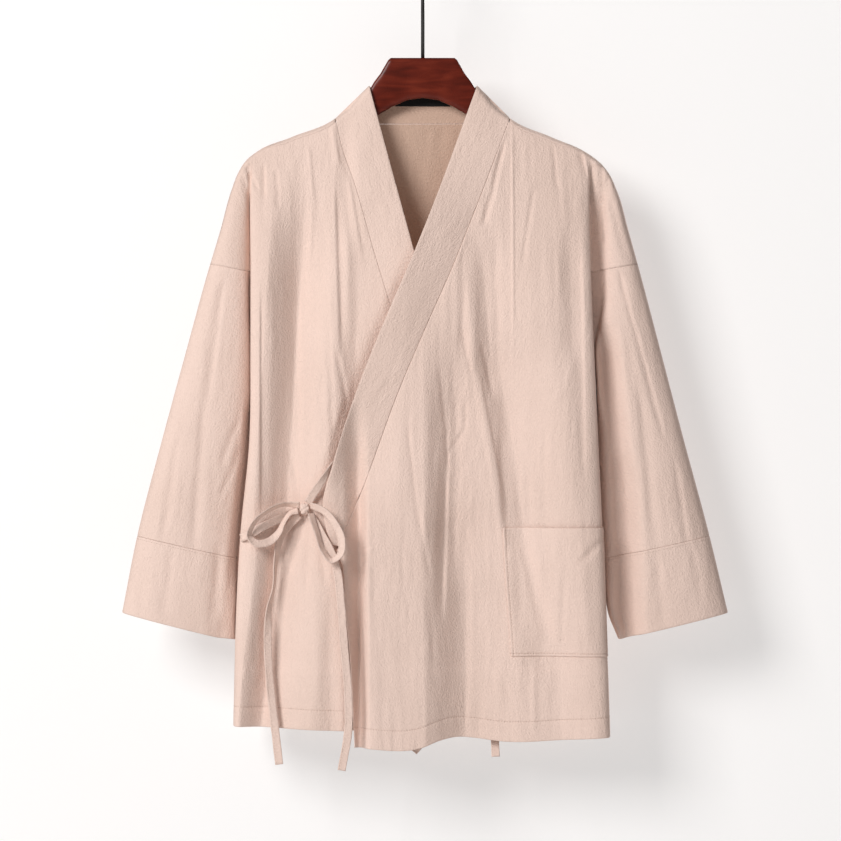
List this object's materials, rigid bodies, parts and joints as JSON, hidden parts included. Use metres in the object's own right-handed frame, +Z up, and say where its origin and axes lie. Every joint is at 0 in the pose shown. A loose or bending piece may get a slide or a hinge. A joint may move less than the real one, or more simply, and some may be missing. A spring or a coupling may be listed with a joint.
{
  "type": "kimono jacket on hanger",
  "caption": "Thigh-length wrap jacket of crinkled cotton with straight sleeves, a collar band, a side tie bow and a patch pocket, hung on a wooden hanger with a wire hook.",
  "frame": {"origin": "inner top of the hook, where a rail carries it", "axes": "+Z up along the hook's wire, +X towards the wearer's left, the jacket's front towards -Y"},
  "size_m": [0.7015, 0.1124, 0.9482],
  "materials": {
    "crinkled_cotton": "matte, crinkled pinkish beige cotton",
    "red_brown_wood": "glossy dark red-brown lacquer",
    "black_wire": "satin black",
    "black_label": "matte black, bare"
  },
  "bodies": {
    "root": {"right_front": "crinkled_cotton", "left_front": "crinkled_cotton", "back_panel": "crinkled_cotton", "right_sleeve": "crinkled_cotton", "right_cuff": "crinkled_cotton", "left_sleeve": "crinkled_cotton", "left_cuff": "crinkled_cotton", "collar_band": "crinkled_cotton", "patch_pocket": "crinkled_cotton", "bow_knot": "crinkled_cotton", "side_tie": "crinkled_cotton", "front_tie": "crinkled_cotton", "bow_loop_right": "crinkled_cotton", "bow_loop_left": "crinkled_cotton", "tie_end_right": "crinkled_cotton", "tie_end_left": "crinkled_cotton", "inner_tie_left": "crinkled_cotton", "inner_tie_right": "crinkled_cotton", "hanger_body": "red_brown_wood", "hanger_hook": "black_wire", "neck_label": "black_label"}
  },
  "joints": []
}
